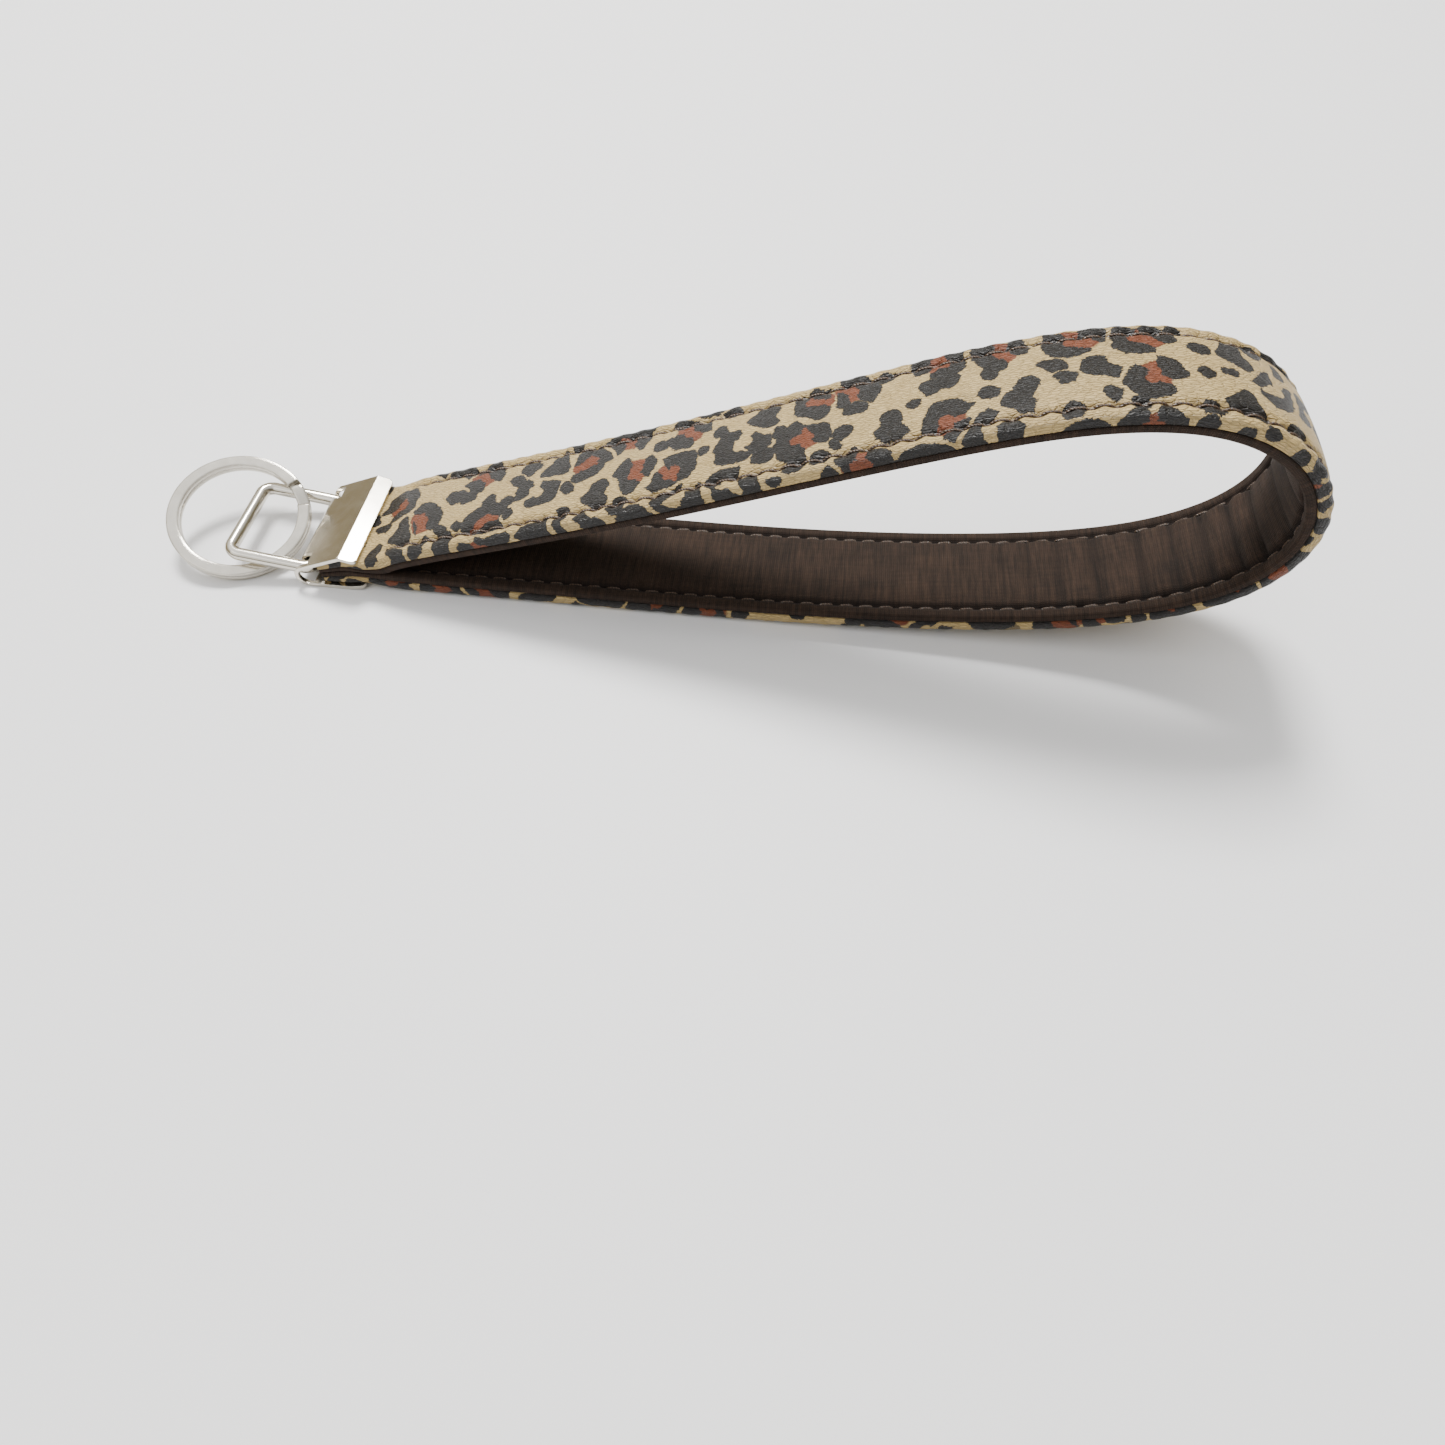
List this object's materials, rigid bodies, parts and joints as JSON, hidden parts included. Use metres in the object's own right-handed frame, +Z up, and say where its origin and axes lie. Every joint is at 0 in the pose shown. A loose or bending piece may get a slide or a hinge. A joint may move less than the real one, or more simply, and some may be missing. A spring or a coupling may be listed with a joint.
{
  "type": "wristlet keychain",
  "caption": "Flat padded strap sewn into a hand loop, ends crimped in a folded metal clamp with a swinging wire loop and a split ring for keys.",
  "frame": {"origin": "centre of the bounding box's footprint, on the surface the keychain lies on", "axes": "+X along the strap from the split ring towards the far end of the hand loop, +Y across the strap, +Z up from the table"},
  "size_m": [0.231, 0.0294, 0.0588],
  "materials": {
    "leather_print": "pebbled faux leather with a large cat print",
    "lining_cotton": "matt woven cotton",
    "padding_foam": "matt needled padding",
    "thread_brown": "slightly shiny sewing thread",
    "clamp_nickel": "polished nickel plate on steel sheet",
    "wire_nickel": "polished nickel plate on steel wire",
    "ring_nickel": "polished nickel plate on spring wire"
  },
  "bodies": {
    "strap": {"clamp_shell": "clamp_nickel", "outer_band": "leather_print", "padding_core": "padding_foam", "lining_band": "lining_cotton", "needle_thread_front": "thread_brown", "needle_thread_back": "thread_brown", "bobbin_thread_front": "thread_brown", "bobbin_thread_back": "thread_brown"},
    "wire_loop": {"wire_loop": "wire_nickel"},
    "split_ring": {"split_ring": "ring_nickel"}
  },
  "joints": [
    {"name": "loop_swing", "type": "hinge", "parent": "strap", "child": "wire_loop", "pos_m": [-0.08116, 0, 0.00275], "axis": [0, 1, 0], "range_deg": [-45, 50]},
    {"name": "ring_flip", "type": "hinge", "parent": "wire_loop", "child": "split_ring", "pos_m": [-0.1005, 0, 0.00592], "axis": [0.9869, 0, -0.1616], "range_deg": [0, 147]}
  ]
}
